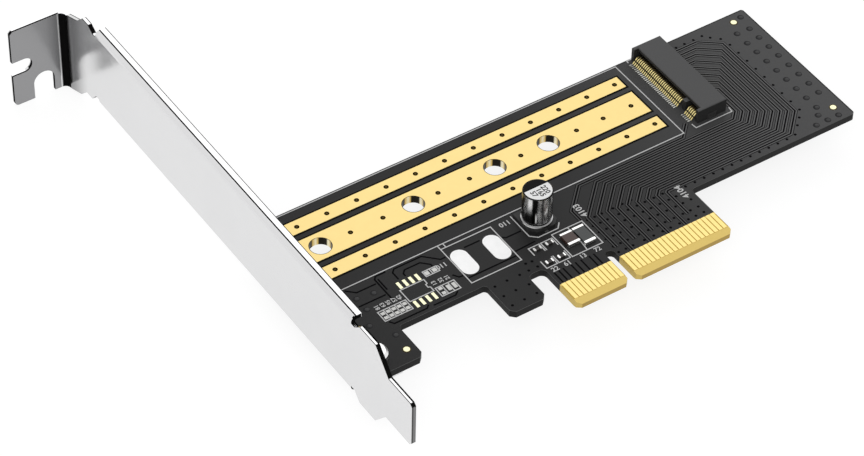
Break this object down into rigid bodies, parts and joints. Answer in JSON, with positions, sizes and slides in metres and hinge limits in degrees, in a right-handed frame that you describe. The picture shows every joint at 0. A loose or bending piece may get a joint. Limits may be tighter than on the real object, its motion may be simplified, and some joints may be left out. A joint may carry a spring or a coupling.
{
  "type": "nvme adapter card",
  "caption": "Slot card with a folded steel bracket that holds a slim solid state drive over gold heat strips, with an edge connector and a drive socket.",
  "frame": {"origin": "middle of the key notch at the contact end of the board, on the component side", "axes": "+X along the card away from the bracket, +Y up from the contacts, +Z out of the component side"},
  "size_m": [0.1273, 0.12, 0.0226],
  "materials": {
    "board": "near black solder mask on glass fibre laminate, satin",
    "board_traces": "solder mask over copper, satin",
    "gold_contacts": "gold plating, bright",
    "gold_strips": "gold plating, satin",
    "socket_plastic": "moulded nylon, matt",
    "capacitor_foot": "moulded foot, satin",
    "capacitor_can": "drawn can, satin",
    "tin_terminals": "tinned",
    "dark_ceramic": "dark body, gloss",
    "brown_ceramic": "brown ceramic body",
    "pale_lands": "plated land, satin",
    "tinned_lands": "tinned land, satin",
    "bracket_sheet": "plated steel sheet, satin",
    "screw_metal": "plated steel, bright"
  },
  "bodies": {
    "root": {"bracket": "bracket_sheet", "bracket_screws": "screw_metal", "bulk_chip_body": "brown_ceramic", "bulk_chip_terminals": "tin_terminals", "capacitor_base": "capacitor_foot", "capacitor_can": "capacitor_can", "capacitor_leads": "tin_terminals", "circuit_board": "board", "controller_pads": "pale_lands", "edge_contacts_component_side": "gold_contacts", "edge_contacts_solder_side": "gold_contacts", "fiducial_discs": "pale_lands", "fuse_body": "dark_ceramic", "fuse_terminals": "tin_terminals", "heat_strip_centre": "gold_strips", "heat_strip_lower": "gold_strips", "heat_strip_upper": "gold_strips", "inductor_pads": "tinned_lands", "signal_traces": "board_traces", "small_chip_body_1": "brown_ceramic", "small_chip_body_2": "brown_ceramic", "small_chip_body_3": "brown_ceramic", "small_chip_body_4": "brown_ceramic", "small_chip_terminals_1": "tin_terminals", "small_chip_terminals_2": "tin_terminals", "small_chip_terminals_3": "tin_terminals", "small_chip_terminals_4": "tin_terminals", "socket_contacts_lower": "gold_contacts", "socket_contacts_upper": "gold_contacts", "socket_housing": "socket_plastic", "socket_nails": "tin_terminals", "spare_chip_pads": "pale_lands", "standoff_hole_plating": "gold_strips"}
  },
  "joints": []
}
